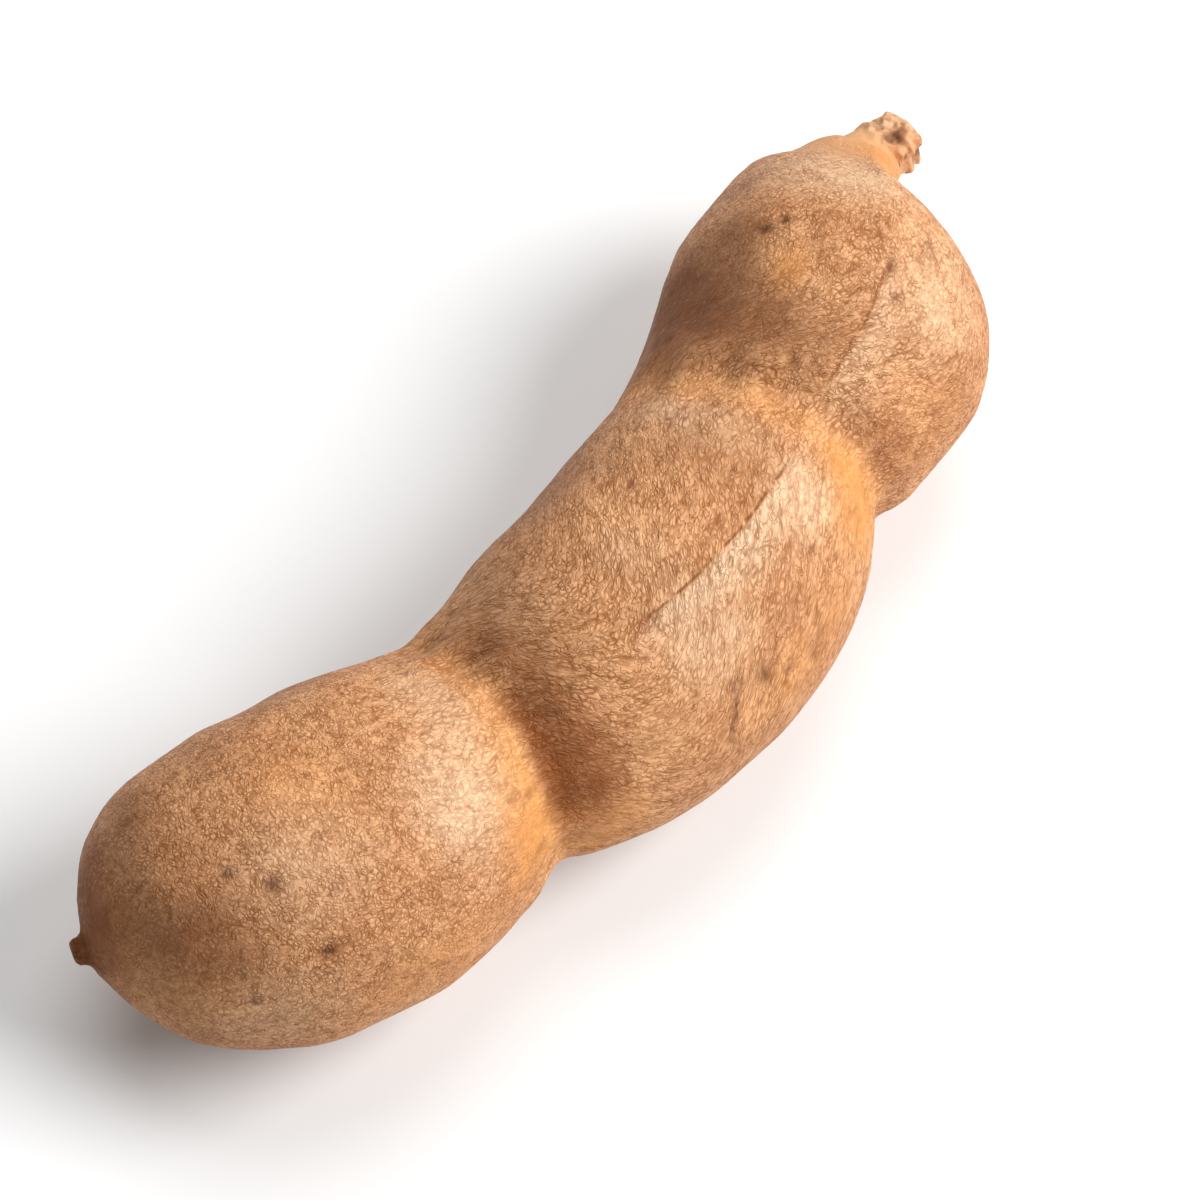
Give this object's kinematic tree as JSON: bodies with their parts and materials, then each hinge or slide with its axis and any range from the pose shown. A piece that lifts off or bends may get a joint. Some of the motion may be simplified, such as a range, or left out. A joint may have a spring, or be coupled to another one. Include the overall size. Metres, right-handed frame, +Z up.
{
  "type": "tamarind pod",
  "caption": "Curved, lobed tamarind pod with a dry tan shell, a small beak and the stub of its stalk, lying on its side.",
  "frame": {"origin": "on the surface that the pod lies on, under the middle of the whole object", "axes": "+X from the beak to the stalk, +Y towards the inside of the pod's curve, +Z up"},
  "size_m": [0.0934, 0.0332, 0.0231],
  "materials": {
    "shell": "matte, scurfy, dry pod shell",
    "stalk": "rough, torn, dry stalk wood"
  },
  "bodies": {
    "root": {"pod": "shell", "stalk": "stalk"}
  },
  "joints": []
}
